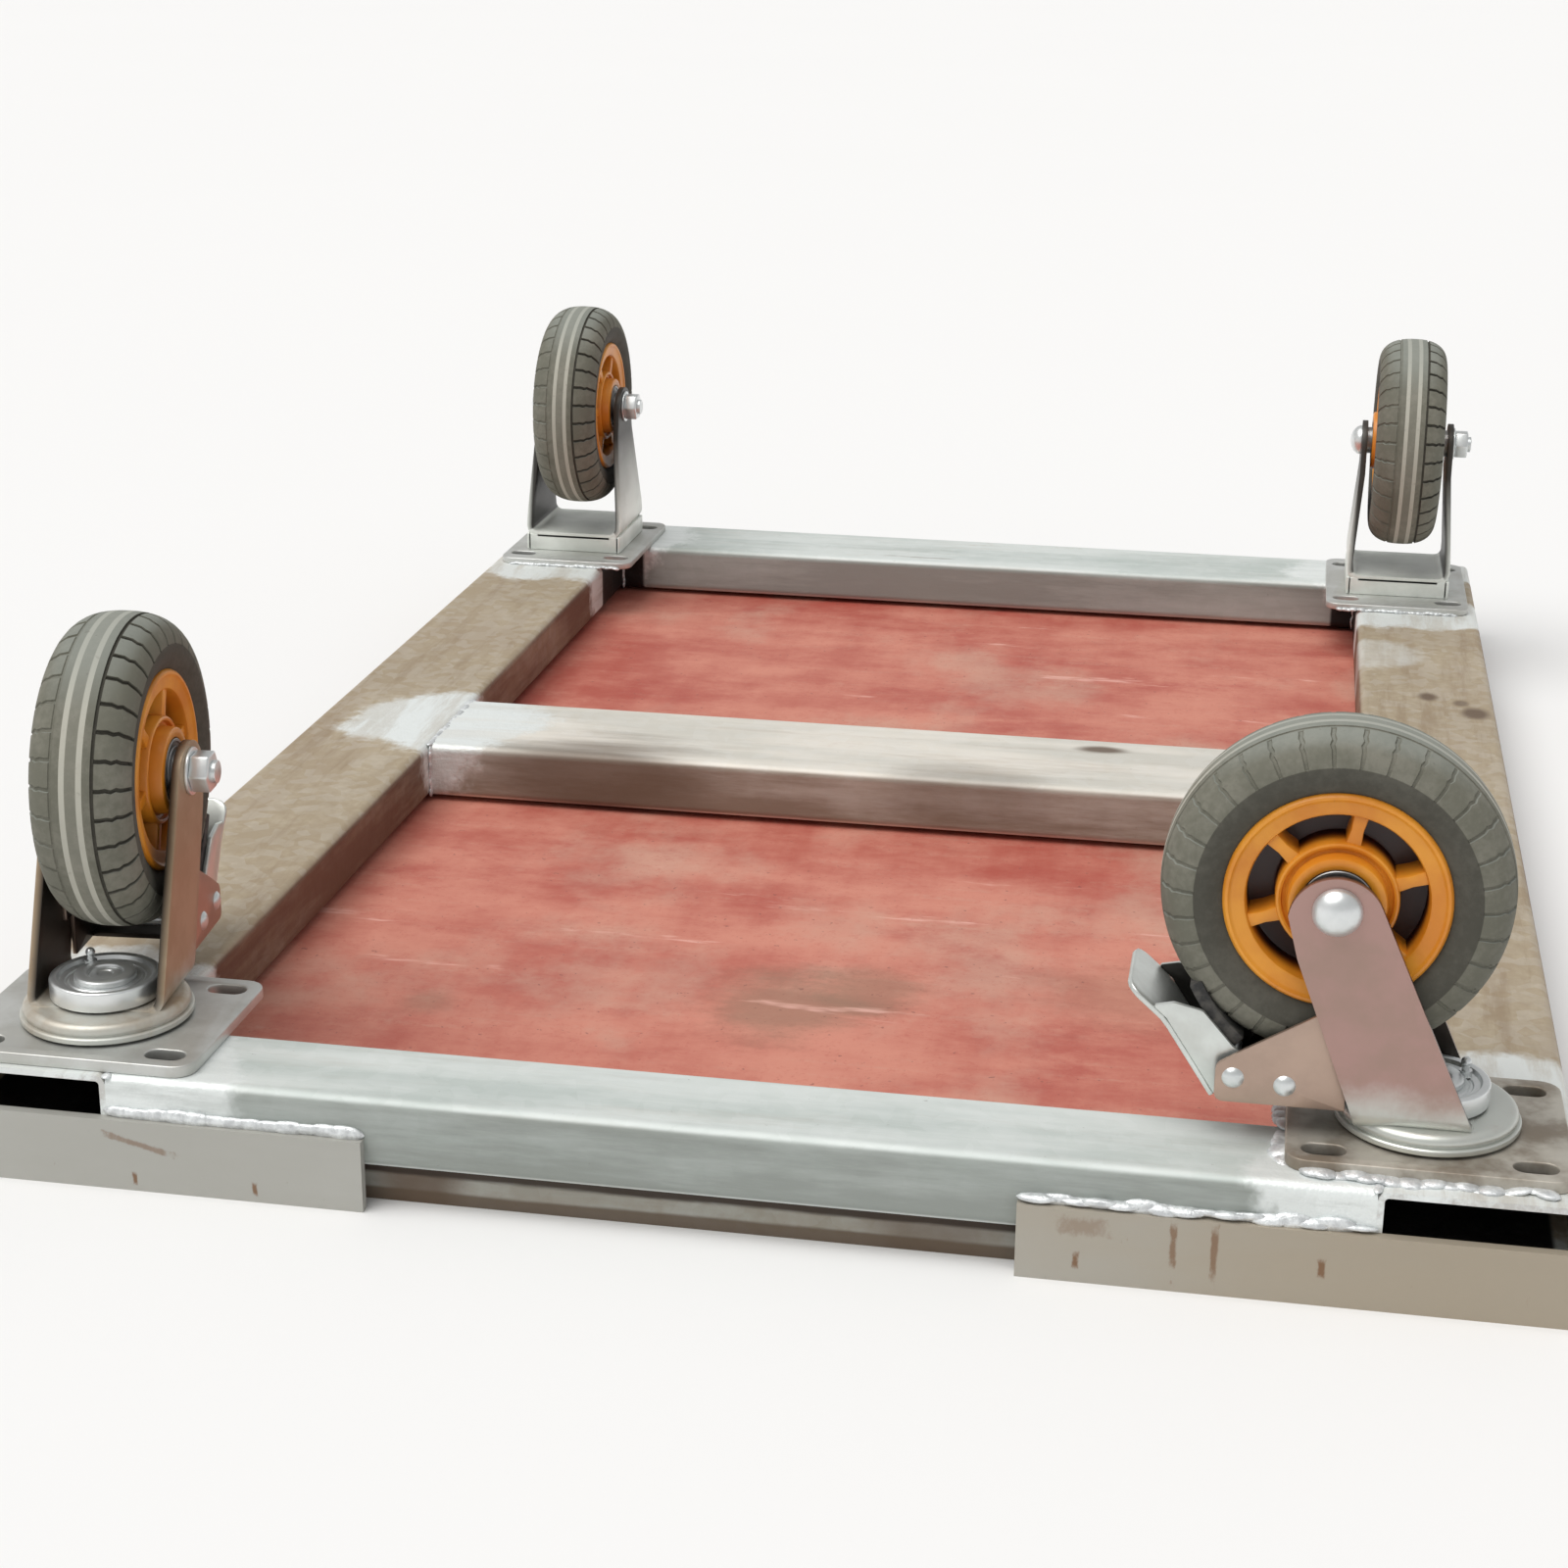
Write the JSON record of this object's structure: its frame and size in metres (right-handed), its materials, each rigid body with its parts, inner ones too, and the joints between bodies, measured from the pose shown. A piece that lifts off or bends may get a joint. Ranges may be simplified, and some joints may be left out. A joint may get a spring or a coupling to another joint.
{
  "type": "flatbed platform truck",
  "caption": "Steel-tube platform truck frame with a plywood deck, fixed castors at one end and braked swivel castors at the other, lying upturned.",
  "frame": {"origin": "centre of the load face, at the bottom centre of the bounding box: the truck lies upturned on its load face with its castors up", "axes": "+Z from the load face towards the wheels, +Y from the swivel castors to the fixed castors, +X across the truck; turned over about X it stands on its wheels"},
  "size_m": [0.77, 1.125, 0.251],
  "materials": {
    "side_tube": "weathered galvanised tube, dusty tan",
    "cross_tube": "galvanised tube, pale grey-green",
    "deck_board": "red-brown film-faced plywood, scuffed",
    "deck_rim": "galvanised angle, dull",
    "corner_plate": "silver-painted steel flat with rust stains",
    "castor_plate": "zinc-plated pressed steel",
    "castor_fork": "zinc-plated pressed steel, satin",
    "bright_fastener": "bright zinc",
    "bearing_steel": "greased steel",
    "tyre_rubber": "mid-grey rubber, matte",
    "hub_plastic": "orange moulded plastic",
    "brake_steel": "bright zinc pressed steel",
    "brake_pad": "black rubber pad"
  },
  "bodies": {
    "frame": {"side_beam_left": "side_tube", "side_beam_right": "side_tube", "swivel_end_beam": "cross_tube", "mid_beam": "cross_tube", "fixed_end_beam": "cross_tube", "deck_board": "deck_board", "rim_swivel_end": "deck_rim", "rim_fixed_end": "deck_rim", "rim_left": "deck_rim", "rim_right": "deck_rim", "corner_plate_left": "corner_plate", "corner_plate_right": "corner_plate", "swivel_plate_left": "castor_plate", "swivel_plate_right": "castor_plate", "kingpin_left": "bright_fastener", "kingpin_right": "bright_fastener", "race_cup_left": "bright_fastener", "race_cup_right": "bright_fastener", "kingpin_nut_left": "bright_fastener", "kingpin_nut_right": "bright_fastener", "race_balls_left": "bearing_steel", "race_balls_right": "bearing_steel", "grease_nipples": "bright_fastener", "fixed_plate_left": "castor_plate", "fixed_plate_right": "castor_plate", "fixed_fork_left": "castor_fork", "fixed_fork_right": "castor_fork", "fixed_axle_bolts": "bright_fastener", "fixed_axle_nuts": "bright_fastener", "fixed_axle_sleeves": "bearing_steel"},
    "swivel_left": {"swivel_fork_left": "castor_fork", "brake_bracket_left": "brake_steel", "axle_bolt_left": "bright_fastener", "axle_nut_left": "bright_fastener", "axle_sleeve_left": "bearing_steel", "brake_rivets_left": "bright_fastener"},
    "pedal_left": {"brake_pedal_left": "brake_steel", "brake_shoe_left": "brake_pad"},
    "wheel_swivel_left": {"tyre_swivel_left": "tyre_rubber", "hub_swivel_left": "hub_plastic", "bearings_swivel_left": "bearing_steel"},
    "swivel_right": {"swivel_fork_right": "castor_fork", "brake_bracket_right": "brake_steel", "axle_bolt_right": "bright_fastener", "axle_nut_right": "bright_fastener", "axle_sleeve_right": "bearing_steel", "brake_rivets_right": "bright_fastener"},
    "pedal_right": {"brake_pedal_right": "brake_steel", "brake_shoe_right": "brake_pad"},
    "wheel_swivel_right": {"tyre_swivel_right": "tyre_rubber", "hub_swivel_right": "hub_plastic", "bearings_swivel_right": "bearing_steel"},
    "wheel_fixed_left": {"tyre_fixed_left": "tyre_rubber", "hub_fixed_left": "hub_plastic", "bearings_fixed_left": "bearing_steel"},
    "wheel_fixed_right": {"tyre_fixed_right": "tyre_rubber", "hub_fixed_right": "hub_plastic", "bearings_fixed_right": "bearing_steel"}
  },
  "joints": [
    {"name": "swivel_left_turn", "type": "hinge", "parent": "frame", "child": "swivel_left", "pos_m": [-0.317, -0.5005, 0.056], "axis": [0, 0, 1], "continuous": true},
    {"name": "swivel_right_turn", "type": "hinge", "parent": "frame", "child": "swivel_right", "pos_m": [0.317, -0.4925, 0.056], "axis": [0, 0, 1], "continuous": true},
    {"name": "wheel_swivel_left_spin", "type": "hinge", "parent": "swivel_left", "child": "wheel_swivel_left", "pos_m": [-0.32118, -0.45268, 0.173], "axis": [0.9962, 0.0872, 0], "continuous": true},
    {"name": "wheel_swivel_right_spin", "type": "hinge", "parent": "swivel_right", "child": "wheel_swivel_right", "pos_m": [0.269, -0.4925, 0.173], "axis": [0, 1, 0], "continuous": true},
    {"name": "wheel_fixed_left_spin", "type": "hinge", "parent": "frame", "child": "wheel_fixed_left", "pos_m": [-0.325, 0.4775, 0.173], "axis": [1, 0, 0], "continuous": true},
    {"name": "wheel_fixed_right_spin", "type": "hinge", "parent": "frame", "child": "wheel_fixed_right", "pos_m": [0.325, 0.4775, 0.173], "axis": [1, 0, 0], "continuous": true},
    {"name": "pedal_left_press", "type": "hinge", "parent": "swivel_left", "child": "pedal_left", "pos_m": [-0.32467, -0.41284, 0.08825], "axis": [0.9962, 0.0872, 0], "range_deg": [0, 10]},
    {"name": "pedal_right_press", "type": "hinge", "parent": "swivel_right", "child": "pedal_right", "pos_m": [0.229, -0.4925, 0.08825], "axis": [0, 1, 0], "range_deg": [0, 10]}
  ]
}
